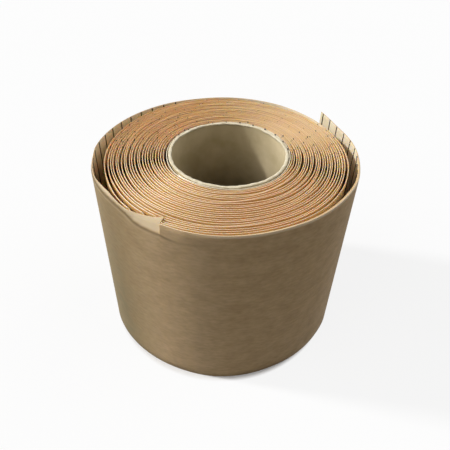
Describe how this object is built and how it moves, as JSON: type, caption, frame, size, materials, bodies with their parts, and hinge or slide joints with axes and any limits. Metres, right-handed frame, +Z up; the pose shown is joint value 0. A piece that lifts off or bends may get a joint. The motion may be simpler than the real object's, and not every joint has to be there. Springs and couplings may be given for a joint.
{
  "type": "roll of kraft-faced felt strip",
  "caption": "Narrow roll of kraft-faced felt strip wound on a paperboard core, standing on its end, with its outer lap sprung loose and a free tail.",
  "frame": {"origin": "centre of the core bore at the end that the roll stands on", "axes": "+Z up along the core bore, +X towards the free tail, -Y towards the viewer of the picture"},
  "size_m": [0.1762, 0.164, 0.138],
  "materials": {
    "core_board": "matte",
    "kraft_felt": "matte"
  },
  "bodies": {
    "root": {"core_tube": "core_board", "felt_roll": "kraft_felt"}
  },
  "joints": []
}
